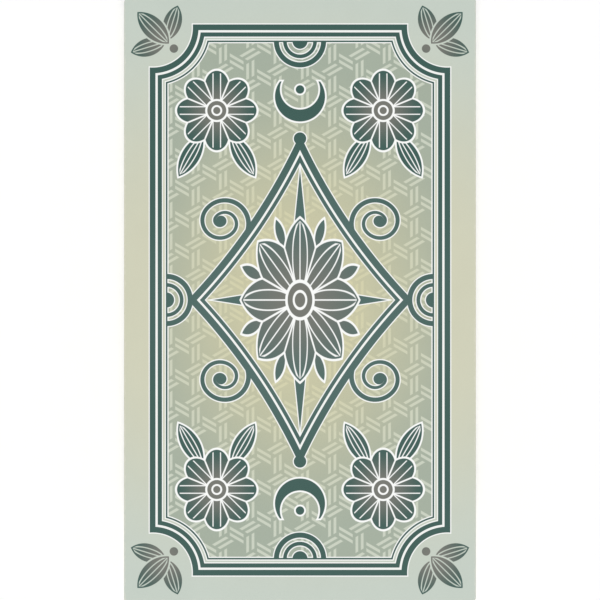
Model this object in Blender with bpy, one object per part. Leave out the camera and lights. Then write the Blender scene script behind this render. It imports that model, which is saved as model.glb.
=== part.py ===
"""A tarot card deck: loose printed cards, squared up in one stack and lying face down.

Metres, +Z up. The origin is on the table under the middle of the stack. +Y runs along the
cards, away from the reader, and +X is the reader's right.
"""

import random

import bmesh
import bpy
from mathutils import Vector

# One card
CARD_WIDTH = 0.070
CARD_LENGTH = 0.120
CARD_THICKNESS = 0.00033
CORNER_RADIUS = 0.0004
CORNER_SEGMENTS = 2

# The stack
CARD_COUNT = 78
FAN_CARDS = 56
FAN_CARDS_BELOW_PICK = 28
AIR_GAP = 0.00003            # between one card and the next
SQUARING_ERROR = 0.00018     # how far a card may lie off square, to each side
SQUARING_SEED = 11

# The lower packet, whose cards are joined inside
GROOVE_DEPTH = 0.0008        # how far the gaps between its cards reach in from the edges

# The motions
FAN_INSET_X = 0.012          # the fan's axis, in from the cards' left edge
FAN_INSET_Y = 0.012          # the fan's axis, in from the cards' near edge
TURN_REACH = 0.003           # the turning axis, out from the cards' right edge

# Colours: red, green, blue
BACK_COLOUR = (0.58, 0.63, 0.53)
FACE_COLOUR = (0.80, 0.76, 0.64)
EDGE_COLOUR = (0.84, 0.82, 0.75)
PRINT_ROUGHNESS = 0.5
EDGE_ROUGHNESS = 0.85

# What follows from the sizes above
SINGLE_CARDS = FAN_CARDS + 3
PACKET_CARDS = CARD_COUNT - SINGLE_CARDS
PITCH = CARD_THICKNESS + AIR_GAP
DECK_HEIGHT = CARD_COUNT * CARD_THICKNESS + (CARD_COUNT - 1) * AIR_GAP
FAN_X = -CARD_WIDTH / 2 + FAN_INSET_X
FAN_Y = -CARD_LENGTH / 2 + FAN_INSET_Y
TURN_X = CARD_WIDTH / 2 + TURN_REACH
BACK, FACE, EDGE = range(3)


def clear_scene():
    for thing in list(bpy.data.objects):
        bpy.data.objects.remove(thing, do_unlink=True)


def make_material(name, colour, roughness):
    material = bpy.data.materials.new(name)
    material.use_nodes = True
    shader = material.node_tree.nodes["Principled BSDF"]
    shader.inputs["Base Color"].default_value = (*colour, 1.0)
    shader.inputs["Roughness"].default_value = roughness
    shader.inputs["Metallic"].default_value = 0.0
    return material


def squaring_offsets():
    """How far each card lies off square, from the lowest to the top one, which lies true."""
    dice = random.Random(SQUARING_SEED)
    offsets = []
    for _ in range(CARD_COUNT - 1):
        across = dice.uniform(-SQUARING_ERROR, SQUARING_ERROR)
        along = dice.uniform(-SQUARING_ERROR, SQUARING_ERROR)
        offsets.append(Vector((across, along, 0.0)))
    offsets.append(Vector((0.0, 0.0, 0.0)))
    return offsets


def add_block(bm, width, length, bottom, top, corner_radius, centre):
    """A flat block with upright rounded corners."""
    made = bmesh.ops.create_cube(bm, size=1.0)
    size = Vector((width, length, top - bottom))
    middle = Vector((centre.x, centre.y, (bottom + top) / 2))
    for vert in made["verts"]:
        vert.co = middle + vert.co * size
    corners = []
    for edge in {edge for vert in made["verts"] for edge in vert.link_edges}:
        run = edge.verts[1].co - edge.verts[0].co
        if abs(run.x) + abs(run.y) < abs(run.z):
            corners.append(edge)
    bmesh.ops.bevel(
        bm, geom=corners, offset=corner_radius, segments=CORNER_SEGMENTS,
        profile=0.5, affect="EDGES", clamp_overlap=True)


def finish_mesh(bm, name, materials):
    """Backs face up, faces face down, and the rest is cut paper."""
    bmesh.ops.recalc_face_normals(bm, faces=bm.faces)
    for face in bm.faces:
        if face.normal.z > 0.5:
            face.material_index = BACK
        elif face.normal.z < -0.5:
            face.material_index = FACE
        else:
            face.material_index = EDGE
    mesh = bpy.data.meshes.new(name)
    bm.to_mesh(mesh)
    bm.free()
    for material in materials:
        mesh.materials.append(material)
    return mesh


def make_card_mesh(materials):
    """One card, with the origin under its middle."""
    bm = bmesh.new()
    add_block(
        bm, CARD_WIDTH, CARD_LENGTH, 0.0, CARD_THICKNESS, CORNER_RADIUS, Vector((0.0, 0.0, 0.0)))
    return finish_mesh(bm, "card", materials)


def packet_rings(offsets):
    """The packet's outline at each level: offset of the outline, how far in it is, height."""
    rings = []
    for card in range(PACKET_CARDS):
        bottom = card * PITCH
        top = bottom + CARD_THICKNESS
        if card > 0:
            rings.append((offsets[card], GROOVE_DEPTH, bottom))
        rings.append((offsets[card], 0.0, bottom))
        rings.append((offsets[card], 0.0, top))
        if card < PACKET_CARDS - 1:
            rings.append((offsets[card + 1], GROOVE_DEPTH, top))
    return rings


def make_packet_mesh(offsets, materials):
    """The lower cards as one closed solid, with a groove round it at each gap."""
    bm = bmesh.new()
    add_block(
        bm, CARD_WIDTH, CARD_LENGTH, 0.0, CARD_THICKNESS, CORNER_RADIUS, Vector((0.0, 0.0, 0.0)))
    top_face = max(bm.faces, key=lambda face: face.calc_center_median().z)
    outline = [vert.co.copy() for vert in top_face.verts]
    bm.clear()
    rings = []
    for offset, inset, height in packet_rings(offsets):
        shrink = Vector((1 - 2 * inset / CARD_WIDTH, 1 - 2 * inset / CARD_LENGTH))
        ring = []
        for point in outline:
            place = (offset.x + point.x * shrink.x, offset.y + point.y * shrink.y, height)
            ring.append(bm.verts.new(place))
        rings.append(ring)
    for lower, upper in zip(rings, rings[1:]):
        for here in range(len(outline)):
            after = (here + 1) % len(outline)
            bm.faces.new((lower[here], lower[after], upper[after], upper[here]))
    bm.faces.new(list(reversed(rings[0])))
    bm.faces.new(rings[-1])
    return finish_mesh(bm, "lower_packet", materials)


def add_object(name, mesh, parent, place):
    """A piece, or an empty when there is no mesh, at a place given in world metres."""
    thing = bpy.data.objects.new(name, mesh)
    bpy.context.scene.collection.objects.link(thing)
    bpy.context.view_layer.update()
    if parent is not None:
        thing.parent = parent
        thing.location = place - parent.matrix_world.translation
    else:
        thing.location = place
    bpy.context.view_layer.update()
    return thing


def build_deck():
    materials = [
        make_material("card_back", BACK_COLOUR, PRINT_ROUGHNESS),
        make_material("card_face", FACE_COLOUR, PRINT_ROUGHNESS),
        make_material("card_edge", EDGE_COLOUR, EDGE_ROUGHNESS),
    ]
    offsets = squaring_offsets()
    card_mesh = make_card_mesh(materials)

    def card_place(level):
        return offsets[level] + Vector((0.0, 0.0, level * PITCH))

    ground = Vector((0.0, 0.0, 0.0))
    deck = add_object("deck", None, None, ground)
    add_object("lower_packet", make_packet_mesh(offsets, materials), deck, ground)

    # The cut: all that lies above the lower packet slides sideways with the cut card.
    level = PACKET_CARDS
    cut_slide = add_object("cut_slide", None, deck, card_place(level))
    add_object("cut_card", card_mesh, cut_slide, card_place(level))

    # The fan: each card has its own empty on the axis, so that each turns by its own angle.
    fan_axis = None
    for number in range(1, FAN_CARDS + 1):
        level += 1
        pivot = Vector((FAN_X, FAN_Y, level * PITCH))
        fan_axis = add_object(f"fan_axis_{number:02d}", None, cut_slide, pivot)
        add_object(f"fan_card_{number:02d}", card_mesh, fan_axis, card_place(level))
        if number == FAN_CARDS_BELOW_PICK:
            level += 1
            pick_slide = add_object("pick_slide", None, fan_axis, card_place(level))
            add_object("picked_card", card_mesh, pick_slide, card_place(level))

    # The top card turns over on an axis beside the deck, half way up, and lands on the table.
    level += 1
    turn_place = Vector((TURN_X, 0.0, DECK_HEIGHT / 2))
    turn_axis = add_object("turn_axis", None, fan_axis, turn_place)
    add_object("top_card", card_mesh, turn_axis, card_place(level))


clear_scene()
build_deck()
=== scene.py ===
"""Looks of the tarot card deck: every card as a printed sheet, on a pale studio floor."""

import math
import random

import bpy
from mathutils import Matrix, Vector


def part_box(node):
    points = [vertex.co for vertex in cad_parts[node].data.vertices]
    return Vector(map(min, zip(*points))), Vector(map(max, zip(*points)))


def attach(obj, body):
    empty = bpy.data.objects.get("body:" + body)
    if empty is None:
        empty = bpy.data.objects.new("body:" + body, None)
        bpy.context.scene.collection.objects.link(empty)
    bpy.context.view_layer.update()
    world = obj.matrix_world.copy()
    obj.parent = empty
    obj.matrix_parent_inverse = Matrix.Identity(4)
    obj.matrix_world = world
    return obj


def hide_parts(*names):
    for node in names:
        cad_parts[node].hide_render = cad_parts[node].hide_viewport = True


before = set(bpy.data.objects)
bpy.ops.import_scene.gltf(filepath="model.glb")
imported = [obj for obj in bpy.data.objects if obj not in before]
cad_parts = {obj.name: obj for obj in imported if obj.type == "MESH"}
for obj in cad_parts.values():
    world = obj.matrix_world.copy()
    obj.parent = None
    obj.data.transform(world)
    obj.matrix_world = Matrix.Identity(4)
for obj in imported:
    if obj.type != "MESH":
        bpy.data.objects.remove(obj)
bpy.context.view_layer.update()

# The cards, in metres. Their sizes and places come from the CAD nodes.
TOP_LOW, TOP_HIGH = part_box("top_card")
CARD_WIDTH = TOP_HIGH[0] - TOP_LOW[0]
CARD_LENGTH = TOP_HIGH[1] - TOP_LOW[1]
CARD_THICKNESS = TOP_HIGH[2] - TOP_LOW[2]
CORNER_RADIUS = 0.0004
CORNER_POINTS = 4
EDGE_EASE = 0.00005          # how far the cutter rounds a card's edges
PRINT_SIDE_TILT = 0.5        # a side that leans less than this from level is printed
WELD = 1e-6

# The deck: how many cards it holds, and the order in which they lie
CARD_COUNT = 78
CARD_PITCH = TOP_LOW[2] / (CARD_COUNT - 1)
SHUFFLE_STEP = 29            # shares no factor with the count, so each number comes once
SHUFFLE_START = 26
SQUARING_ERROR = 0.00018     # as in the CAD model, with the same seed
SQUARING_SEED = 11

# What each card's mesh tells its materials
PLACE_NAME = "place_on_card"
NUMBER_NAME = "card_number"

# The view: straight down, with the card's length filling the picture
LENS = 150.0
SENSOR = 36.0
SHOWN_LENGTH = 0.11969

# The light
KEY_TILT = math.radians(35)
KEY_ANGLE = math.radians(12)
KEY_SHARE = 0.585
SKY_SHARE = 0.39
FLOOR_REACH = 20.0
FLOOR_DROP = 0.0001
FLOOR_LIFT = 0.05            # what the camera sees the floor brighter by

MM = 1000.0                  # the prints are drawn in millimetres


# How a screen codes a level of light
SCREEN_TOP = 255
SCREEN_KNEE = 0.04045
SCREEN_SLOPE = 12.92
SCREEN_LIFT = 0.055
SCREEN_POWER = 2.4


def srgb(red, green, blue):
    """A colour as a screen shows it, out of 255, made linear."""
    parts = []
    for level in (red, green, blue):
        share = level / SCREEN_TOP
        if share <= SCREEN_KNEE:
            parts.append(share / SCREEN_SLOPE)
        else:
            parts.append(((share + SCREEN_LIFT) / (1 + SCREEN_LIFT)) ** SCREEN_POWER)
    return (*parts, 1.0)


# Inks, paper and floor
MARGIN_END = srgb(197, 207, 197)
MARGIN_MIDDLE = srgb(208, 208, 184)
FIELD_END = srgb(163, 174, 158)
FIELD_MIDDLE = srgb(206, 202, 166)
WEAVE_END = srgb(202, 209, 193)
WEAVE_MIDDLE = srgb(213, 208, 167)
INK_MIDDLE = srgb(73, 101, 96)
INK_END = srgb(50, 84, 77)
INK_BROWN = srgb(114, 115, 108)
WHITE_LINE = srgb(253, 254, 252)
FACE_GROUND = srgb(226, 222, 203)
SUIT_TINTS = (srgb(212, 199, 158), srgb(160, 178, 176), srgb(176, 182, 186), srgb(178, 187, 152))
SUN_STRAW = srgb(217, 198, 146)
PAPER_CORE = srgb(236, 232, 220)
PAPER_SHADE = srgb(205, 198, 180)
FLOOR_WHITE = srgb(253, 253, 253)
LIGHT_WHITE = (1.0, 1.0, 1.0, 1.0)


# What both sides of a card are drawn with, in millimetres
INK_SOFT = 0.05              # how far the ink fades to each side of its edge
LINE_EDGING = 0.2
MOTIF_EDGING = 0.33
VEIN_SOFT = 0.06
VEIN_HALF = 0.1
VEIN_INSET = 0.3
VEIN_SPREAD = 0.52           # how far out the side veins of a leaf lie
PARTING_HALF = 0.15          # half the white line between two petals

# What the node trees need to know
WHOLE_SLACK = 0.5            # two whole numbers nearer than this are the same
NOISE_MIDDLE = 0.5
MIX_SHARE = 0                # places of a Mix node's sockets
MIX_NUMBERS = (2, 3)
MIX_COLOURS = (6, 7)
MIX_COLOUR_OUTPUT = 2


class Number:
    """A value in a node tree. The usual operators add Math nodes to that tree."""

    def __init__(self, tree, socket):
        self.tree = tree
        self.socket = socket

    def other(self, output):
        """Another output of the node that this value leaves."""
        return Number(self.tree, self.socket.node.outputs[output])

    def math(self, operation, *others):
        return self.tree.add("ShaderNodeMath", {"operation": operation}, (self, *others))

    def above(self, level):
        return self.math("GREATER_THAN", level)

    def below(self, level):
        return self.math("LESS_THAN", level)

    def equals(self, level):
        return self.math("COMPARE", level, WHOLE_SLACK)

    def floor(self):
        return self.math("FLOOR")

    def rounded(self):
        return self.math("ROUND")

    def __add__(self, other):
        return self.math("ADD", other)

    def __sub__(self, other):
        return self.math("SUBTRACT", other)

    def __rsub__(self, other):
        return self.tree.add("ShaderNodeMath", {"operation": "SUBTRACT"}, (other, self))

    def __mul__(self, other):
        return self.math("MULTIPLY", other)

    def __truediv__(self, other):
        return self.math("DIVIDE", other)

    def __rtruediv__(self, other):
        return self.tree.add("ShaderNodeMath", {"operation": "DIVIDE"}, (other, self))

    def __neg__(self):
        return self.math("MULTIPLY", -1.0)

    def __abs__(self):
        return self.math("ABSOLUTE")

    def __mod__(self, other):
        return self.math("FLOORED_MODULO", other)

    __radd__ = __add__
    __rmul__ = __mul__


class Tree:
    """A node tree under construction."""

    def __init__(self, nodes):
        self.nodes = nodes

    def feed(self, socket, value):
        """Links a value, or each of a list of them, or else sets the socket itself."""
        if isinstance(value, (Number, list)):
            for number in value if isinstance(value, list) else [value]:
                self.nodes.links.new(number.socket, socket)
        else:
            socket.default_value = value

    def add(self, kind, settings=None, sockets=(), output=0):
        """One node: its settings first, then its sockets, by place or by name."""
        node = self.nodes.nodes.new(kind)
        for name, value in (settings or {}).items():
            setattr(node, name, value)
        pairs = sockets.items() if isinstance(sockets, dict) else enumerate(sockets)
        for key, value in pairs:
            self.feed(node.inputs[key], value)
        return Number(self, node.outputs[output] if len(node.outputs) else None)


class Paint(Tree):
    """A material under construction, with the sums that the prints use."""

    def __init__(self, name):
        self.material = bpy.data.materials.new(name)
        self.material.use_nodes = True
        super().__init__(self.material.node_tree)
        self.shader = self.nodes.nodes["Principled BSDF"]
        self.place = self.add("ShaderNodeTexCoord", output="Object")

    def set(self, **sockets):
        for name, value in sockets.items():
            self.feed(self.shader.inputs[name.replace("_", " ")], value)

    def attribute(self, name, output):
        return self.add("ShaderNodeAttribute", {"attribute_name": name}, output=output)

    def on_card(self):
        """The place on the card, in millimetres to the right of its middle and above it."""
        place = self.attribute(PLACE_NAME, "Vector")
        across = self.add("ShaderNodeSeparateXYZ", None, (place,), output="X")
        return across * MM, across.other("Y") * MM

    def least(self, *numbers):
        result = numbers[0]
        for number in numbers[1:]:
            result = result.math("MINIMUM", number)
        return result

    def most(self, *numbers):
        result = numbers[0]
        for number in numbers[1:]:
            result = result.math("MAXIMUM", number)
        return result

    def reach(self, across, along):
        """The length of a run across and along."""
        run = self.add("ShaderNodeCombineXYZ", None, (across, along))
        return self.add("ShaderNodeVectorMath", {"operation": "LENGTH"}, (run,), output="Value")

    def fade(self, number, start, end):
        """0 before start and 1 after end, with a smooth step between them."""
        step = {"interpolation_type": "SMOOTHSTEP"}
        low, high, first, last = start, end, 0.0, 1.0
        if start > end:
            low, high, first, last = end, start, 1.0, 0.0
        return self.add("ShaderNodeMapRange", step, (number, low, high, first, last))

    def inked(self, distance, grow=0.0, soft=INK_SOFT):
        """1 inside a drawn shape, where the distance is below zero, and 0 outside."""
        return self.fade(distance, grow + soft, grow - soft)

    def choose(self, flag, yes, no):
        """One number where the flag is 1, and another where it is 0."""
        first, second = MIX_NUMBERS
        sockets = {MIX_SHARE: flag, first: no, second: yes}
        return self.add("ShaderNodeMix", {"data_type": "FLOAT"}, sockets)

    def mix(self, share, one, other, blend="MIX"):
        first, second = MIX_COLOURS
        settings = {"data_type": "RGBA", "blend_type": blend}
        sockets = {MIX_SHARE: share, first: one, second: other}
        return self.add("ShaderNodeMix", settings, sockets, MIX_COLOUR_OUTPUT)

    def toned(self, colour, tone):
        """A colour made lighter or darker by a number."""
        grey = self.add("ShaderNodeCombineColor", None, (tone, tone, tone))
        return self.mix(1.0, colour, grey, "MULTIPLY")

    def noise(self, scale, detail, roughness, place=None):
        """Cloudy change about zero, within about a half to each side."""
        sockets = {
            "Vector": place or self.place, "Scale": scale, "Detail": detail, "Roughness": roughness}
        return self.add("ShaderNodeTexNoise", None, sockets, output="Fac") - NOISE_MIDDLE

    def bump(self, height, strength, distance):
        sockets = {"Height": height, "Strength": strength, "Distance": distance}
        return self.add("ShaderNodeBump", None, sockets)


class Layer:
    """Shapes that are printed together: ink with a pale edging, and pale veins in the ink.

    A shape or a vein is a distance, which is below zero inside it.
    """

    def __init__(self, edging=0.0):
        self.edging = edging
        self.shapes = []
        self.veins = []

    def print_on(self, paint, colour, ink_colour, pale=WHITE_LINE):
        shape = paint.least(*self.shapes)
        ink = paint.inked(shape)
        if self.edging:
            colour = paint.mix(paint.inked(shape, self.edging), colour, pale)
        colour = paint.mix(ink, colour, ink_colour)
        if self.veins:
            veins = paint.inked(paint.least(*self.veins), soft=VEIN_SOFT)
            colour = paint.mix(veins * ink, colour, pale)
        return colour


def rings(paint, distance, lines):
    """Lines at several distances from an edge or a middle, each with half its width."""
    return paint.least(*[abs(distance - place) - half for place, half in lines])


def turned(ahead, aside, angle):
    """The same place, seen along and across a direction turned by an angle in degrees."""
    cosine = math.cos(math.radians(angle))
    sine = math.sin(math.radians(angle))
    return ahead * cosine + aside * sine, aside * cosine - ahead * sine


HALF_STEP = 0.5


def from_middle(steps):
    """How far a place that is counted in steps is from the middle of its own step."""
    return steps % 1.0 - HALF_STEP


def folded(across, along, count, shift=0.0):
    """The turn from the nearest of several axes about a middle, and the turn between two axes."""
    spacing = 2 * math.pi / count
    turn = along.math("ARCTAN2", across) + spacing * (HALF_STEP + shift)
    return abs(turn % spacing - spacing * HALF_STEP), spacing


def point_star(paint, across, along, tip_across, tip_along, notch):
    """A four-pointed star, from its distances across and along, both above zero."""
    sides = []
    for one, other, tip in ((across, along, tip_across), (along, across, tip_along)):
        run = math.hypot(tip - notch, notch)
        sides.append(one * (notch / run) + other * ((tip - notch) / run) - notch * tip / run)
    return paint.least(*sides)


def leaf(paint, ahead, aside, start, end, half_width):
    """A pointed leaf along its own axis, between two arcs. The run aside is above zero."""
    half = (end - start) / 2
    bend = (half ** 2 + half_width ** 2) / (2 * half_width)
    return paint.reach(ahead - (start + half), aside + (bend - half_width)) - bend


def veined_leaf(paint, ahead, aside, *size):
    """A pointed leaf and its veins, one along the middle and one part of the way to each side."""
    shape = leaf(paint, ahead, aside, *size)
    middle_line = leaf(paint, ahead, 0.0, *size)
    side_veins = abs(shape - middle_line * VEIN_SPREAD) - VEIN_HALF
    veins = paint.most(paint.least(aside - VEIN_HALF, side_veins), shape + VEIN_INSET)
    return shape, veins


# The woven ground of the back, in millimetres
WEAVE_PITCH = 6.29
WEAVE_SHIFT = (-1.74, 0.31)          # where its middle lies, off the card's middle
WEAVE_BAR_APART = 1.07
WEAVE_BAR_WIDTH = 0.54
WEAVE_BAR_LENGTH = 3.17
WEAVE_TURNS = (90, 30, -30)
WEAVE_CORNER = 60            # degrees between two directions
WEAVE_SOFT = 0.08


def weave(paint, x, y):
    """Pairs of short bars in three directions, as in open basket work: 1 on a bar."""
    across = x - WEAVE_SHIFT[0]
    along = y - WEAVE_SHIFT[1]
    bars = []
    sine = math.sin(math.radians(WEAVE_CORNER))
    scale = 1 / (WEAVE_PITCH * sine)
    for turn in WEAVE_TURNS:
        first = math.radians(turn)
        second = math.radians(turn + WEAVE_CORNER)
        step = across * (math.sin(second) * scale) - along * (math.cos(second) * scale)
        rise = along * (math.cos(first) * scale) - across * (math.sin(first) * scale)
        aside = abs(from_middle(step)) * (WEAVE_PITCH * sine)
        ahead = abs(from_middle(rise + HALF_STEP)) * WEAVE_PITCH
        side = abs(aside - WEAVE_BAR_APART / 2) - WEAVE_BAR_WIDTH / 2
        bars.append(paint.most(side, ahead - WEAVE_BAR_LENGTH / 2))
    return paint.inked(paint.least(*bars), soft=WEAVE_SOFT)


# The back's drawing, in millimetres from the card's middle. It is alike in all four quarters.
FRAME_HALF_WIDTH = 29.4
FRAME_HALF_LENGTH = 54.4
FRAME_HOLLOW = 8.6
FRAME_LINES = ((0.0, 0.58), (1.44, 0.43), (2.8, 0.17))      # how far in, half the width
FRAME_INSIDE = 2.8


def draw_frame(paint, lines, across, along):
    """Three lines with hollow corners. Returns how far a place is outside the first."""
    corner_across = across - FRAME_HALF_WIDTH
    corner_along = along - FRAME_HALF_LENGTH
    hollow = FRAME_HOLLOW - paint.reach(corner_across, corner_along)
    outside = paint.most(corner_across, corner_along, hollow)
    lines.shapes.append(rings(paint, -outside, FRAME_LINES))
    return outside


SHELL_LINES = ((4.7, 0.52), (3.0, 0.38))
SHELL_BEAD = 1.5


def draw_shells(paint, lines, across, along, outside):
    """Half-round shells on the frame's four sides."""
    from_side = paint.reach(across - FRAME_HALF_WIDTH + FRAME_INSIDE, along)
    from_end = paint.reach(across, along - FRAME_HALF_LENGTH + FRAME_INSIDE)
    out = paint.least(from_side, from_end)
    shell = paint.least(rings(paint, out, SHELL_LINES), out - SHELL_BEAD)
    lines.shapes.append(paint.most(shell, outside + FRAME_INSIDE))


LOZENGE_HALF_WIDTH = 21.5
LOZENGE_HALF_LENGTH = 31.5
LOZENGE_BOW = 120.0          # the radius of its drawn-in sides
LOZENGE_LINES = ((0.0, 0.68), (1.46, 0.37))
LOZENGE_BEAD = 1.25
LOZENGE_BEAD_OUT = 0.7
SCROLL_REACH = 4.7
SCROLL_STEP = 1.2
SCROLL_SHIFT = 3.0
SCROLL_LINE = (0.2, 0.055)   # half its width at the heart, and what it gains on the way out
SCROLL_BEAD = 1.1
SCROLL_BEAD_AHEAD = 0.95


def scroll(paint, ahead, aside):
    """A line that curls in on itself, in half circles about two middles in turn."""
    below = aside.below(0.0)
    out = paint.reach(ahead - below * SCROLL_STEP, aside) + below * SCROLL_STEP
    turns = abs((SCROLL_REACH + SCROLL_STEP - out) % (2 * SCROLL_STEP) - SCROLL_STEP)
    swelling = paint.reach(ahead - SCROLL_STEP / 2, aside) * SCROLL_LINE[1]
    line = turns - swelling - SCROLL_LINE[0]
    bead = paint.reach(ahead - SCROLL_BEAD_AHEAD, aside) - SCROLL_BEAD
    return paint.least(paint.most(line, out - SCROLL_REACH - SCROLL_STEP / 2), bead)


def draw_lozenge(paint, lines, across, along):
    """A lozenge with drawn-in sides, a bead on each end and a scroll on each side."""
    chord = math.hypot(LOZENGE_HALF_WIDTH, LOZENGE_HALF_LENGTH)
    lift = math.sqrt(LOZENGE_BOW ** 2 - (chord / 2) ** 2)
    bow_across = LOZENGE_HALF_WIDTH / 2 + lift * LOZENGE_HALF_LENGTH / chord
    bow_along = LOZENGE_HALF_LENGTH / 2 + lift * LOZENGE_HALF_WIDTH / chord
    inside = paint.reach(across - bow_across, along - bow_along) - LOZENGE_BOW
    past_tip = paint.most(across - LOZENGE_HALF_WIDTH, along - LOZENGE_HALF_LENGTH)
    lines.shapes.append(paint.most(rings(paint, inside, LOZENGE_LINES), past_tip))
    from_bead = paint.reach(across, along - LOZENGE_HALF_LENGTH - LOZENGE_BEAD_OUT)
    lines.shapes.append(from_bead - LOZENGE_BEAD)

    foot = math.hypot(bow_across, bow_along) - LOZENGE_BOW
    lean = math.degrees(math.atan2(bow_along, bow_across))
    ahead, aside = turned(across, along, lean)
    lines.shapes.append(scroll(paint, ahead - (foot + SCROLL_REACH), aside - SCROLL_SHIFT))


BLOOM_STRETCH = 0.72         # its width over its length
BLOOM_PETALS = 8
BLOOM_PETAL = (1.0, 11.7, 3.05)      # where a petal starts and ends, and half its width
BLOOM_SEED = (8.2, 12.5, 0.78)
BLOOM_HEART = 3.3
BLOOM_RINGS = ((2.7, 0.24), (1.25, 0.2))
RAY_TIPS = (17.5, 26.0)
RAY_NOTCH = 2.4


def draw_bloom(paint, lines, leaves, motifs, across, along):
    """A flower of pointed petals with a seed between each two, over four long rays."""
    lines.shapes.append(point_star(paint, across, along, *RAY_TIPS, RAY_NOTCH))
    tall = along * BLOOM_STRETCH
    out = paint.reach(across, tall)
    fold, spacing = folded(across, tall, BLOOM_PETALS)
    ahead = out * fold.math("COSINE")
    aside = out * fold.math("SINE")
    petal, veins = veined_leaf(paint, ahead, aside, *BLOOM_PETAL)
    between = spacing / 2 - fold
    seed = leaf(paint, out * between.math("COSINE"), out * between.math("SINE"), *BLOOM_SEED)
    leaves.shapes.append(seed)
    motifs.shapes += [petal, out - BLOOM_HEART]

    partings = paint.most(out * between, petal) - PARTING_HALF
    motifs.veins.append(paint.most(paint.least(veins, partings), BLOOM_RINGS[0][0] - out))
    motifs.veins.append(rings(paint, out, BLOOM_RINGS))


FLOWER_ACROSS = 16.6
FLOWER_ALONG = 37.8
FLOWER_PETALS = 8
FLOWER_PETAL_OUT = 5.0
FLOWER_PETAL_REACH = 2.35
FLOWER_PETAL_SQUASH = 0.8
FLOWER_HEART = 4.2
FLOWER_RINGS = ((2.1, 0.2), (0.9, 0.18))
FLOWER_VEIN_ASIDE = 0.75
FLOWER_LEAF = (5.6, 15.2, 1.8)
FLOWER_LEAF_TURN = -60.0


def draw_flowers(paint, leaves, motifs, across, along):
    """A flower of round petals in each corner of the field, with two leaves that hang from it."""
    from_across = across - FLOWER_ACROSS
    from_along = along - FLOWER_ALONG
    lean_ahead, lean_aside = turned(abs(from_across), from_along, FLOWER_LEAF_TURN)
    hanging, veins = veined_leaf(paint, lean_ahead, abs(lean_aside), *FLOWER_LEAF)
    leaves.shapes.append(hanging)
    leaves.veins.append(veins)

    out = paint.reach(from_across, from_along)
    fold, spacing = folded(from_across, from_along, FLOWER_PETALS)
    ahead = out * fold.math("COSINE")
    aside = out * fold.math("SINE")
    petal = paint.reach((ahead - FLOWER_PETAL_OUT) * FLOWER_PETAL_SQUASH, aside)
    flower = paint.least(petal - FLOWER_PETAL_REACH, out - FLOWER_HEART)
    motifs.shapes.append(flower)
    veins = paint.most(abs(aside - FLOWER_VEIN_ASIDE) - VEIN_HALF, flower + VEIN_INSET)
    partings = paint.most(out * (spacing / 2 - fold), flower) - PARTING_HALF
    motifs.veins.append(paint.most(paint.least(veins, partings), FLOWER_RINGS[0][0] - out))
    motifs.veins.append(rings(paint, out, FLOWER_RINGS))
    return out


CRESCENT_ALONG = 40.6
CRESCENT_REACH = 5.0
CRESCENT_HOLLOW = 4.0
CRESCENT_SHIFT = 1.4
CRESCENT_HORNS = 3.0         # how far up its blunt horns reach
CRESCENT_BEAD = 0.85


def draw_crescents(paint, motifs, across, along):
    """A crescent at each end, with a bead between its horns."""
    up = along - CRESCENT_ALONG
    hollow = paint.reach(across, up - CRESCENT_SHIFT)
    crescent = paint.most(
        paint.reach(across, up) - CRESCENT_REACH, CRESCENT_HOLLOW - hollow, up - CRESCENT_HORNS)
    motifs.shapes.append(paint.least(crescent, hollow - CRESCENT_BEAD))


SPRIG_TURN = 45.0
SPRIG_LEAF = (-4.6, 4.3, 2.05)
SPRIG_SIDE_LEAF = (0.2, 7.5, 1.8)
SPRIG_FORK = -4.0
SPRIG_FORK_TURN = 62.0
SPRIG_BEAD = 0.85
SPRIG_BEAD_AHEAD = -6.0


def draw_sprigs(paint, leaves, motifs, across, along):
    """Three leaves and a berry in each hollow of the frame."""
    from_across = across - FRAME_HALF_WIDTH
    from_along = along - FRAME_HALF_LENGTH
    ahead, aside = turned(from_across, from_along, SPRIG_TURN)
    aside = abs(aside)
    middle, middle_veins = veined_leaf(paint, ahead, aside, *SPRIG_LEAF)
    lean_ahead, lean_aside = turned(ahead - SPRIG_FORK, aside, SPRIG_FORK_TURN)
    side, side_veins = veined_leaf(paint, lean_ahead, abs(lean_aside), *SPRIG_SIDE_LEAF)
    berry = paint.reach(ahead - SPRIG_BEAD_AHEAD, aside) - SPRIG_BEAD
    leaves.shapes.append(side)
    leaves.veins.append(side_veins)
    motifs.shapes += [middle, berry]
    motifs.veins.append(middle_veins)
    return paint.reach(ahead - SPRIG_FORK, aside)


GLOW_REACH = (50.0, 4.0)     # where the field's warm middle starts and where it is full
GLOW_NARROW = 1.3
MARGIN_REACH = (64.0, 24.0)
MARGIN_NARROW = 0.8
INK_REACH = (16.0, 38.0)     # where the ink starts to darken and where it is darkest
BLOOM_WARMTH = (18.0, 1.0)   # where the ink starts to turn brown and where it is all brown
FLOWER_WARMTH = (8.0, 1.0)
SPRIG_WARMTH = (8.0, 1.0)


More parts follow.
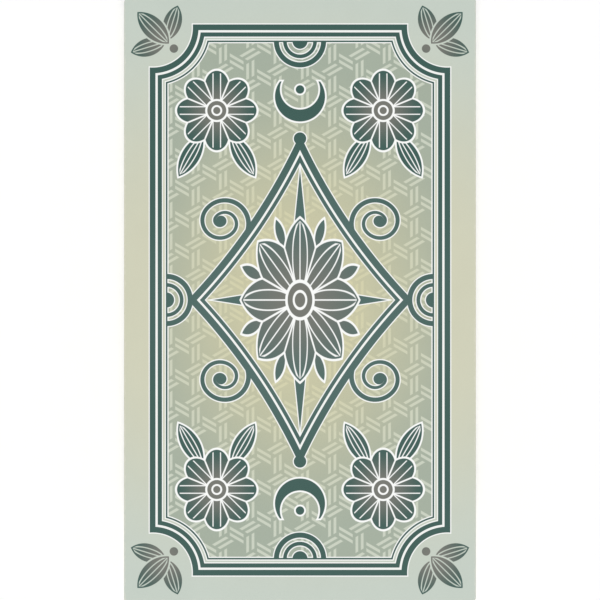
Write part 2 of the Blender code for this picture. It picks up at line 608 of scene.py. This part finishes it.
def make_back_print():
    paint = Paint("card back print")
    x, y = paint.on_card()
    across = abs(x)
    along = abs(y)
    lines = Layer(LINE_EDGING)
    leaves = Layer(MOTIF_EDGING)
    motifs = Layer(MOTIF_EDGING)
    side_leaves = Layer(MOTIF_EDGING)
    sprigs = Layer(MOTIF_EDGING)
    outside = draw_frame(paint, lines, across, along)
    draw_shells(paint, lines, across, along, outside)
    draw_lozenge(paint, lines, across, along)
    draw_bloom(paint, lines, leaves, motifs, across, along)
    flower_out = draw_flowers(paint, leaves, motifs, across, along)
    draw_crescents(paint, motifs, across, along)
    sprig_out = draw_sprigs(paint, side_leaves, sprigs, across, along)

    # Ground: a pale margin, and a field with a woven pattern and a warm middle
    glow = paint.fade(paint.reach(x * GLOW_NARROW, y), *GLOW_REACH)
    warmth = paint.fade(paint.reach(x * MARGIN_NARROW, y), *MARGIN_REACH)
    margin = paint.mix(warmth, MARGIN_END, MARGIN_MIDDLE)
    field = paint.mix(glow, FIELD_END, FIELD_MIDDLE)
    bars = paint.mix(glow, WEAVE_END, WEAVE_MIDDLE)
    field = paint.mix(weave(paint, x, y), field, bars)
    colour = paint.mix(paint.inked(outside + FRAME_INSIDE), margin, field)

    # Ink, teal that darkens outwards, with brown hearts, one layer over the other
    out = paint.reach(x, y)
    brown = paint.most(
        paint.fade(out, *BLOOM_WARMTH), paint.fade(flower_out, *FLOWER_WARMTH),
        paint.fade(sprig_out, *SPRIG_WARMTH))
    teal = paint.mix(paint.fade(out, *INK_REACH), INK_MIDDLE, INK_END)
    warm = paint.mix(brown, teal, INK_BROWN)
    for layer, ink in ((lines, teal), (leaves, warm), (motifs, warm)):
        colour = layer.print_on(paint, colour, ink)
    for layer in (side_leaves, sprigs):
        colour = layer.print_on(paint, colour, warm, margin)
    finish_print(paint, colour, x, y)
    return paint.material


TOOTH = (2600.0, 3.0, 0.6)           # noise: repeats to a metre, detail and roughness
MOTTLE = (160.0, 4.0, 0.55)
SCUFF = (900.0, 3.0, 0.6)
TOOTH_TONE = 0.05
MOTTLE_TONE = 0.05
SCUFF_WIDTH = 0.22                   # in millimetres
SCUFF_WANDER = 0.7
SCUFF_SHARE = 0.3
PRINT_ROUGHNESS = 0.48
MOTTLE_ROUGHNESS = 0.16              # what mottling and scuffs add to it
SCUFF_ROUGHNESS = 0.3
PRINT_SHINE = 0.3
TOOTH_RELIEF = 0.6
MOTTLE_RELIEF = 0.4
PRINT_BUMP = (0.12, 0.00004)         # strength, and height in metres


def finish_print(paint, colour, x, y):
    """Matt laminate over a print: paper tooth, faint mottling, scuffed rims."""
    tooth = paint.noise(*TOOTH)
    mottle = paint.noise(*MOTTLE)
    colour = paint.toned(colour, tooth * TOOTH_TONE + mottle * MOTTLE_TONE + 1.0)
    rim = paint.least(CARD_WIDTH * MM / 2 - abs(x), CARD_LENGTH * MM / 2 - abs(y))
    wander = paint.noise(*SCUFF) * SCUFF_WANDER
    scuff = paint.fade(rim + wander, SCUFF_WIDTH, 0.0) * SCUFF_SHARE
    roughness = mottle * MOTTLE_ROUGHNESS + scuff * SCUFF_ROUGHNESS + PRINT_ROUGHNESS
    relief = tooth * TOOTH_RELIEF + mottle * MOTTLE_RELIEF
    paint.set(Base_Color=paint.mix(scuff, colour, PAPER_CORE), Roughness=roughness)
    paint.set(Normal=paint.bump(relief, *PRINT_BUMP), Specular_IOR_Level=PRINT_SHINE)


# The faces' frame, in millimetres from the card's middle
FACE_HALF_WIDTH = 30.6
FACE_HALF_LENGTH = 55.6
FACE_LINES = ((0.0, 0.5), (1.8, 0.2))
PICTURE_INSET = 2.6
PANEL_TOP = -45.0
PANEL_LINE = 0.3
PICTURE_MIDDLE = 4.4
SKY_REACH = (52.0, -16.0)

# The suits' signs, in millimetres from a sign's middle
COIN_LINES = ((5.2, 0.45),)
COIN_HEART = 3.9
COIN_PETALS = 8
COIN_RING = ((1.2, 0.2),)


def coin(paint, across, up):
    """A round coin with a rosette."""
    out = paint.reach(across, up)
    fold, spacing = folded(across, up, COIN_PETALS)
    shape = paint.least(rings(paint, out, COIN_LINES), out - COIN_HEART)
    veins = paint.least(out * (spacing / 2 - fold) - VEIN_HALF, rings(paint, out, COIN_RING))
    return shape, paint.most(veins, out - COIN_HEART + VEIN_INSET)


CUP_RIM = 5.6
CUP_REACH = 4.3
CUP_SQUASH = 0.8
CUP_STEM = 0.55
CUP_KNOB = (-2.2, 1.15)              # how high its middle is, and its reach
CUP_FOOT = -6.4
CUP_FOOT_REACH = 3.4
CUP_FOOT_SQUASH = 1.7
CUP_BANDS = ((4.3, 0.14), (3.6, 0.14))


def cup(paint, across, up):
    """A cup with a round bowl, on a stem with a knob and a domed foot."""
    bowl = paint.most(
        paint.reach(across, (up - CUP_RIM) * CUP_SQUASH) - CUP_REACH, up - CUP_RIM)
    stem = paint.most(across - CUP_STEM, abs(up - CUP_FOOT / 2) + CUP_FOOT / 2)
    knob = paint.reach(across, up - CUP_KNOB[0]) - CUP_KNOB[1]
    foot = paint.most(
        paint.reach(across, (up - CUP_FOOT) * CUP_FOOT_SQUASH) - CUP_FOOT_REACH, CUP_FOOT - up)
    return paint.least(bowl, stem, knob, foot), rings(paint, up, CUP_BANDS)


SWORD_BLADE = (-2.8, 7.0, 1.2)
SWORD_GUARD = (3.5, 0.5)             # half its length and half its height
SWORD_GRIP = 0.55
SWORD_POMMEL = (-6.2, 1.1)


def sword(paint, across, up):
    """An upright blade with a straight guard and a round pommel."""
    blade = leaf(paint, up, across, *SWORD_BLADE)
    from_guard = up - SWORD_BLADE[0]
    guard = paint.most(abs(from_guard) - SWORD_GUARD[1], across - SWORD_GUARD[0])
    grip = paint.most(across - SWORD_GRIP, from_guard, SWORD_POMMEL[0] - up)
    pommel = paint.reach(across, up - SWORD_POMMEL[0]) - SWORD_POMMEL[1]
    vein = paint.most(across - VEIN_HALF, blade + VEIN_INSET, SWORD_GUARD[1] - from_guard)
    return paint.least(blade, guard, grip, pommel), vein


WAND_STAFF = (0.75, 6.2)             # half its width and half its length
WAND_KNOB = 1.3
WAND_LEAF = (0.3, 5.8, 1.25)
WAND_LEAF_TURN = 48.0
WAND_FORKS = (1.0, -3.6)


def wand(paint, across, up):
    """A staff with a knob at each end and two pairs of leaves."""
    staff = paint.most(across - WAND_STAFF[0], abs(up) - WAND_STAFF[1])
    shapes = [staff, paint.reach(across, abs(up) - WAND_STAFF[1]) - WAND_KNOB]
    veins = []
    for fork in WAND_FORKS:
        ahead, aside = turned(across, up - fork, WAND_LEAF_TURN)
        shapes.append(leaf(paint, ahead, abs(aside), *WAND_LEAF))
        veins.append(paint.most(abs(aside) - VEIN_HALF, shapes[-1] + VEIN_INSET))
    return paint.least(*shapes), paint.least(*veins)


SUIT_SIGNS = (coin, cup, sword, wand)
SUIT_CARDS = 14
ACE = 1
PIP_CARDS = 10
PIP_COLUMN = 15.4
PIP_SPAN = 94.0
PIP_SIZE = 1.16              # a sign on a pip card, and on an ace or a court card
PIP_LARGE = 2.7
GLORY_RAYS = 36
GLORY_RAY = (25.0, 1.4, 0.2)         # its middle, half its length and half its width
COURT_BEAD = 1.3
COURT_BEAD_APART = 5.0
COURT_BEAD_UP = 36.5
FAR = 100.0                  # further than any place on a card


def draw_suit(paint, layer, x, y, suit, rank):
    """The suit's signs in two columns, or a large one. Returns its rays and a court card's beads."""
    across = abs(x)
    up = y - PICTURE_MIDDLE
    court = rank.above(PIP_CARDS + WHOLE_SLACK)
    single = paint.most(rank.equals(ACE), court)
    rows = paint.most((rank / 2).floor(), 1.0)
    row_step = PIP_SPAN / rows
    row_up = from_middle(up / row_step + rows / 2) * row_step
    middle = paint.most(single, across.below(PIP_COLUMN / 2))
    size = paint.choose(single, PIP_LARGE, PIP_SIZE)
    sign_across = paint.choose(middle, across, abs(across - PIP_COLUMN)) / size
    sign_up = paint.choose(middle, up, row_up) / size
    empty = middle * (1 - paint.most(single, rank % 2))
    shapes = []
    veins = []
    for number, sign in enumerate(SUIT_SIGNS):
        shape, vein = sign(paint, sign_across, sign_up)
        missing = (1 - suit.equals(number)) * FAR
        shapes.append(shape * size + missing)
        veins.append(vein * size + missing)
    signs = paint.most(paint.least(*shapes) + empty * FAR, abs(up) - PIP_SPAN / 2)
    layer.shapes.append(signs)
    layer.veins.append(paint.least(*veins))

    # Rays about a large sign, and as many beads over it as the court card's place
    out = paint.reach(x, up)
    fold, _ = folded(x, up, GLORY_RAYS)
    place, half_length, half_width = GLORY_RAY
    ray = paint.most(out * fold.math("SINE") - half_width, abs(out - place) - half_length)
    beads = rank - PIP_CARDS
    bead_across = from_middle(x / COURT_BEAD_APART + beads / 2) * COURT_BEAD_APART
    bead = paint.reach(bead_across, up - COURT_BEAD_UP) - COURT_BEAD
    bead = paint.most(bead, across - beads * (COURT_BEAD_APART / 2))
    return paint.least(ray + (1 - single) * FAR, bead + (1 - court) * FAR)


SUN_ALONG = 13.0
SUN_REACH = 9.4
SUN_LINES = ((9.4, 0.55), (7.4, 0.2))
SUN_RAYS_LEAST = 8
SUN_RAY_KINDS = 7            # the trumps have this many counts of rays
SUN_RAY_TIP = 21.0
SUN_RAY_SLOPE = 0.2
SUN_RAY_FOOT = 10.8
SUN_THIN_RAY = (14.2, 3.2, 0.28)
MOON_HOLLOW = 8.0
MOON_SHIFT = 4.4
MOON_LINE = 0.55
# Each star's place across and along, its reach across and along, and its notch
STARS = ((21.5, 45.0, 2.6, 3.6, 0.7), (11.0, 39.5, 1.6, 2.2, 0.45))


def draw_sky(paint, x, y, trump):
    """A sun on odd trumps and a moon on even ones, with stars: its lines, and what is straw in it."""
    up = y - SUN_ALONG
    out = paint.reach(x, up)
    rays = trump % SUN_RAY_KINDS + SUN_RAYS_LEAST
    fold, _ = folded(up, x, rays)
    broad = out * fold.math("SINE") - (SUN_RAY_TIP - out) * SUN_RAY_SLOPE
    fold, _ = folded(up, x, rays, HALF_STEP)
    place, half_length, half_width = SUN_THIN_RAY
    thin = paint.most(out * fold.math("SINE") - half_width, abs(out - place) - half_length)
    sun = paint.least(paint.most(broad, SUN_RAY_FOOT - out), rings(paint, out, SUN_LINES))
    moon_shape = paint.most(
        out - SUN_REACH, MOON_HOLLOW - paint.reach(x - MOON_SHIFT, up))
    moon = abs(moon_shape) - MOON_LINE
    odd = trump % 2
    lines = [paint.choose(odd, sun, moon), thin]
    for across, along, *sizes in STARS:
        lines.append(point_star(paint, abs(abs(x) - across), abs(y - along), *sizes))
    return paint.least(*lines), paint.choose(odd, out - SUN_REACH, moon_shape)


WAVE_FOOT = -45.0
WAVE_REACH = 6.1
WAVE_STEP = 3.05
WAVE_ROWS_LEAST = 5.5
WAVE_ROW_KINDS = 5           # the trumps have this many levels of the sea
WAVE_CRESTS = ((5.8, 0.2), (4.4, 0.16), (3.0, 0.16), (1.6, 0.16))


def waves(paint, x, y, trump):
    """A sea of overlapping scales: how far a place is outside it, and the crests in it."""
    row = ((y - WAVE_FOOT) / WAVE_STEP).floor()
    reaches = []
    for lower in (row - 1, row):
        shift = (lower % 2) * WAVE_REACH
        aside = (x + shift) % (2 * WAVE_REACH) - WAVE_REACH
        reaches.append(paint.reach(aside, y - WAVE_FOOT - lower * WAVE_STEP))
    front = reaches[0].below(WAVE_REACH)
    reach = paint.choose(front, reaches[0], reaches[1])
    level = trump % WAVE_ROW_KINDS + WAVE_ROWS_LEAST
    return row - front - level, rings(paint, reach, WAVE_CRESTS)


def make_face_print():
    """Faces by the cards' numbers: four suits of pips and courts, then suns and moons."""
    paint = Paint("card face print")
    from_left, y = paint.on_card()
    x = -from_left           # a face is seen from below
    number = paint.attribute(NUMBER_NAME, "Fac").rounded()
    suit = (number / SUIT_CARDS).floor()
    is_trump = suit.above(len(SUIT_SIGNS) - WHOLE_SLACK)
    signs = Layer(MOTIF_EDGING)
    rays = draw_suit(paint, signs, x, y, suit, number - suit * SUIT_CARDS + 1)
    trump = number - len(SUIT_SIGNS) * SUIT_CARDS
    sky_lines, straw = draw_sky(paint, x, y, trump)
    shore, crests = waves(paint, x, y, trump)

    # Ground: margin, frame with a bare panel at its foot, and a sky in the suit's tint
    edge = paint.most(abs(x) - FACE_HALF_WIDTH, abs(y) - FACE_HALF_LENGTH)
    picture = paint.most(edge + PICTURE_INSET, PANEL_TOP + PANEL_LINE - y)
    tint = FIELD_END
    for place, colour in enumerate(SUIT_TINTS):
        tint = paint.mix(suit.equals(place), tint, colour)
    colour = paint.mix(paint.inked(edge), MARGIN_MIDDLE, FACE_GROUND)
    sky = paint.mix(paint.fade(y, *SKY_REACH), tint, FACE_GROUND)
    colour = paint.mix(paint.inked(picture), colour, sky)

    # A trump has its sun or moon and its sea, and any other card its suit's signs
    colour = paint.mix(paint.inked(straw) * is_trump, colour, SUN_STRAW)
    lines = Layer(LINE_EDGING)
    lines.shapes.append(paint.most(paint.choose(is_trump, sky_lines, rays), picture))
    lines.shapes.append(rings(paint, -edge, FACE_LINES))
    lines.shapes.append(paint.most(abs(y - PANEL_TOP) - PANEL_LINE, edge))
    sea = Layer()
    sea.shapes.append(paint.most(shore, picture) + (1 - is_trump) * FAR)
    sea.veins.append(crests)
    for layer in (lines, signs, sea):
        colour = layer.print_on(paint, colour, INK_END)
    finish_print(paint, colour, x, y)
    return paint.material


FIBRE_STRETCH = (260.0, 260.0, 6000.0)       # fibres in repeats to a metre, flat and upwards
FIBRES = (1.0, 4.0, 0.65)
FIBRE_BUMP = (0.3, 0.00004)
EDGE_SHADE = 0.1                     # the least shade, and what chance and the fibres add to it
EDGE_CHANCE_SHADE = 0.55
EDGE_FIBRE_SHADE = 0.9
EDGE_ROUGHNESS = 0.82
FIBRE_ROUGHNESS = 0.2
EDGE_SHINE = 0.2


def make_card_edge():
    """Cut paper: a shade for each card, and fibres along the cut."""
    paint = Paint("cut card edge")
    height = paint.add("ShaderNodeSeparateXYZ", None, (paint.place,), output="Z")
    layer = (height / CARD_PITCH).floor()
    chance = paint.add("ShaderNodeTexWhiteNoise", {"noise_dimensions": "1D"}, {"W": layer})
    stretch = paint.add(
        "ShaderNodeVectorMath", {"operation": "MULTIPLY"}, (paint.place, FIBRE_STRETCH))
    fibres = paint.noise(*FIBRES, stretch)
    shade = chance * EDGE_CHANCE_SHADE + fibres * EDGE_FIBRE_SHADE + EDGE_SHADE
    colour = paint.mix(shade, PAPER_CORE, PAPER_SHADE)
    paint.set(Base_Color=colour, Roughness=fibres * FIBRE_ROUGHNESS + EDGE_ROUGHNESS)
    paint.set(Normal=paint.bump(fibres, *FIBRE_BUMP), Specular_IOR_Level=EDGE_SHINE)
    return paint.material


FLOOR_GRAIN = (40.0, 3.0, 0.5)
FLOOR_GRAIN_TONE = 0.01
FLOOR_ROUGHNESS = 0.9


def seen_directly(tree):
    """1 for what the camera sees, itself, mirrored or through glass, and 0 for what gives light."""
    seen = tree.add("ShaderNodeLightPath", output="Is Camera Ray")
    mirrored = seen.math("MAXIMUM", seen.other("Is Glossy Ray"))
    return mirrored.math("MAXIMUM", seen.other("Is Transmission Ray"))


def make_floor_material():
    paint = Paint("pale studio floor")
    colour = paint.toned(FLOOR_WHITE, paint.noise(*FLOOR_GRAIN) * FLOOR_GRAIN_TONE + 1.0)
    paint.set(Base_Color=colour, Roughness=FLOOR_ROUGHNESS, Specular_IOR_Level=0.0)
    paint.set(Emission_Color=seen_directly(paint), Emission_Strength=FLOOR_LIFT)
    return paint.material


CARD_INPUTS = {
    "Points": "Geometry", "Width": "Float", "Length": "Float", "Thickness": "Float",
    "Corner Radius": "Float", "Corner Points": "Int", "Edge Ease": "Float",
    "Card Number": "Float", "Back": "Material", "Face": "Material", "Edge": "Material"}


def card_sheet(tree, asked):
    """One card that lies on the origin: drawn in by the easing, then out, straight up and in."""
    ease = asked["Edge Ease"]
    inner_width = asked["Width"] - ease * 2
    inner_length = asked["Length"] - ease * 2
    outline = tree.add(
        "GeometryNodeCurvePrimitiveQuadrilateral", {"mode": "RECTANGLE"},
        {"Width": inner_width, "Height": inner_length})
    rounded = tree.add(
        "GeometryNodeFilletCurve", {"mode": "POLY"},
        {"Curve": outline, "Count": asked["Corner Points"],
         "Radius": asked["Corner Radius"] - ease})
    sheet = tree.add("GeometryNodeFillCurve", {"mode": "NGONS"}, {"Curve": rounded})
    place = tree.add("GeometryNodeInputPosition")
    wider = asked["Width"] / inner_width
    longer = asked["Length"] / inner_length
    steps = (
        (ease, (wider, longer, 1.0)), (asked["Thickness"] - ease * 2, None),
        (ease, (1 / wider, 1 / longer, 1.0)))
    body = sheet
    chosen = {}
    for height, spread in steps:
        sockets = {"Mesh": body, "Offset Scale": height, "Individual": False}
        body = tree.add("GeometryNodeExtrudeMesh", {"mode": "FACES"}, sockets | chosen)
        chosen = {"Selection": body.other("Top")}
        if spread is not None:
            scale = tree.add("ShaderNodeCombineXYZ", None, spread)
            moved = tree.add("ShaderNodeVectorMath", {"operation": "MULTIPLY"}, (place, scale))
            sockets = {"Geometry": body, "Position": moved}
            body = tree.add("GeometryNodeSetPosition", None, sockets | chosen)
    under = tree.add("GeometryNodeFlipFaces", None, {"Mesh": sheet})
    whole = tree.add("GeometryNodeJoinGeometry", None, {"Geometry": [body, under]})
    whole = tree.add(
        "GeometryNodeMergeByDistance", None, {"Geometry": whole, "Distance": WELD})
    return tree.add(
        "GeometryNodeStoreNamedAttribute", {"data_type": "FLOAT_VECTOR", "domain": "POINT"},
        {"Geometry": whole, "Name": PLACE_NAME, "Value": place})


def make_card_tree():
    """Geometry Nodes that lay one card on each point, and the key of each of their inputs."""
    nodes = bpy.data.node_groups.new("cards on points", "GeometryNodeTree")
    keys = {}
    for name, kind in CARD_INPUTS.items():
        made = nodes.interface.new_socket(name, in_out="INPUT", socket_type=f"NodeSocket{kind}")
        keys[name] = made.identifier
    nodes.interface.new_socket("Cards", in_out="OUTPUT", socket_type="NodeSocketGeometry")
    tree = Tree(nodes)
    points = tree.add("NodeGroupInput")
    asked = {name: points.other(name) for name in CARD_INPUTS}
    laid = tree.add(
        "GeometryNodeInstanceOnPoints", None,
        {"Points": points, "Instance": card_sheet(tree, asked)})
    cards = tree.add("GeometryNodeRealizeInstances", None, {"Geometry": laid})
    cards = tree.add(
        "GeometryNodeStoreNamedAttribute", {"data_type": "FLOAT", "domain": "POINT"},
        {"Geometry": cards, "Name": NUMBER_NAME, "Value": asked["Card Number"]})
    lean = tree.add(
        "ShaderNodeSeparateXYZ", None, (tree.add("GeometryNodeInputNormal"),), output="Z")
    sides = {
        "Edge": True, "Back": lean.above(PRINT_SIDE_TILT), "Face": lean.below(-PRINT_SIDE_TILT)}
    for name, chosen in sides.items():
        sockets = {"Geometry": cards, "Selection": chosen, "Material": asked[name]}
        cards = tree.add("GeometryNodeSetMaterial", None, sockets)
    tree.add("NodeGroupOutput", None, (cards,))
    return nodes, keys


def add_cards(name, points, tree, inputs):
    """A piece with one card on each point, as a plain mesh at the origin."""
    seeds = bpy.data.meshes.new(name)
    seeds.from_pydata(points, [], [])
    piece = bpy.data.objects.new(name, seeds)
    bpy.context.scene.collection.objects.link(piece)
    modifier = piece.modifiers.new("cards", "NODES")
    modifier.node_group = tree
    for key, value in inputs.items():
        modifier[key] = value
    graph = bpy.context.evaluated_depsgraph_get()
    mesh = bpy.data.meshes.new_from_object(piece.evaluated_get(graph))
    piece.modifiers.remove(modifier)
    piece.data = mesh
    mesh.name = name
    bpy.data.meshes.remove(seeds)
    return piece


BAKE_MAP = "OFBake"          # the name of a piece's own map for baking
MAP_GAP = 0.004
MAP_PATCH = 0.5              # the share of the map's width that each printed side takes
MAP_EDGES = 0.14             # the share of the map's height that the cards' edges take
STRIP_START = 0.2            # an edge within its strip
STRIP_SHARE = 0.6
HALF_ROUND = 0.5             # half a turn round a card's edge


def lay_map(mesh, cards):
    """A map for a packet: its backs on one patch, its faces on another, its edges in strips."""
    layer = mesh.uv_layers.new(name=BAKE_MAP)
    places = mesh.attributes[PLACE_NAME].data
    sides = len(mesh.polygons) // cards
    wide = MAP_PATCH - 2 * MAP_GAP
    high = 1.0 - MAP_EDGES - 2 * MAP_GAP
    for side in mesh.polygons:
        spots = [places[mesh.loops[corner].vertex_index].vector for corner in side.loop_indices]
        shares = [
            (spot.x / CARD_WIDTH, spot.y / CARD_LENGTH, spot.z / CARD_THICKNESS) for spot in spots]
        if abs(side.normal.z) > PRINT_SIDE_TILT:
            left = MAP_GAP if side.normal.z > 0 else MAP_PATCH + MAP_GAP
            middle = (left + wide / 2, MAP_EDGES + MAP_GAP + high / 2)
            found = [(middle[0] + x * wide, middle[1] + y * high) for x, y, _ in shares]
        else:
            turns = [math.atan2(y, x) / (2 * math.pi) % 1.0 for x, y, _ in shares]
            if max(turns) - min(turns) > HALF_ROUND:
                turns = [turn + (turn < HALF_ROUND) for turn in turns]
            strip = side.index // sides + STRIP_START
            found = []
            for turn, (_, _, z) in zip(turns, shares):
                across = MAP_GAP + turn * (1.0 - 2 * MAP_GAP)
                found.append((across, (strip + z * STRIP_SHARE) * MAP_EDGES / cards))
        for corner, spot in zip(side.loop_indices, found):
            layer.uv[corner].vector = spot


def card_level(node):
    """How many cards lie under a card."""
    return round(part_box(node)[0][2] / CARD_PITCH)


def card_point(node):
    """Under the middle of a card's CAD node."""
    low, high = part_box(node)
    return ((low[0] + high[0]) / 2, (low[1] + high[1]) / 2, low[2])


def packet_points():
    """Under the middle of each of the lower packet's cards, which lie as in the CAD model."""
    dice = random.Random(SQUARING_SEED)
    points = []
    for card in range(card_level("cut_card")):
        across = dice.uniform(-SQUARING_ERROR, SQUARING_ERROR)
        along = dice.uniform(-SQUARING_ERROR, SQUARING_ERROR)
        points.append((across, along, card * CARD_PITCH))
    return points


def making_order(node):
    """The single cards and the packet first, then the fan, each from the top of the deck down."""
    return node.startswith("fan"), -card_level(node)


def make_deck():
    """A piece for each CAD node."""
    tree, keys = make_card_tree()
    values = {
        "Width": CARD_WIDTH, "Length": CARD_LENGTH, "Thickness": CARD_THICKNESS,
        "Corner Radius": CORNER_RADIUS, "Corner Points": CORNER_POINTS, "Edge Ease": EDGE_EASE,
        "Back": make_back_print(), "Face": make_face_print(), "Edge": make_card_edge()}
    for node in sorted(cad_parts, key=making_order):
        is_packet = node == "lower_packet"
        points = packet_points() if is_packet else [card_point(node)]
        number = (card_level(node) * SHUFFLE_STEP + SHUFFLE_START) % CARD_COUNT
        inputs = {keys[name]: value for name, value in values.items()}
        inputs[keys["Card Number"]] = float(number)
        piece = add_cards(f"printed_{node}", points, tree, inputs)
        if is_packet:
            lay_map(piece.data, len(points))
        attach(piece, node)
        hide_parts(node)


def make_stage():
    mesh = bpy.data.meshes.new("studio_floor")
    reach = FLOOR_REACH
    corners = [(-reach, -reach), (reach, -reach), (reach, reach), (-reach, reach)]
    mesh.from_pydata([(x, y, -FLOOR_DROP) for x, y in corners], [], [(0, 1, 2, 3)])
    mesh.materials.append(make_floor_material())
    floor = bpy.data.objects.new("studio_floor", mesh)
    bpy.context.scene.collection.objects.link(floor)

    key = bpy.data.lights.new("key", "SUN")
    key.energy = KEY_SHARE * math.pi / math.cos(KEY_TILT)
    key.angle = KEY_ANGLE
    lamp = bpy.data.objects.new("key", key)
    lamp.rotation_euler = (KEY_TILT, 0.0, 0.0)
    bpy.context.scene.collection.objects.link(lamp)

    world = bpy.data.worlds.new("studio")
    bpy.context.scene.world = world
    world.use_nodes = True
    tree = Tree(world.node_tree)
    sky = world.node_tree.nodes["Background"]
    tree.feed(sky.inputs["Color"], LIGHT_WHITE)
    tree.feed(sky.inputs["Strength"], seen_directly(tree) * (1.0 - SKY_SHARE) + SKY_SHARE)


def make_camera():
    lens = bpy.data.cameras.new("camera")
    lens.lens = LENS
    lens.sensor_width = SENSOR
    camera = bpy.data.objects.new("camera", lens)
    distance = SHOWN_LENGTH * LENS / SENSOR
    camera.location = (0.0, 0.0, TOP_HIGH[2] + distance)
    bpy.context.scene.collection.objects.link(camera)
    bpy.context.scene.camera = camera


make_deck()
make_stage()
make_camera()
bpy.context.scene.view_settings.view_transform = "Standard"
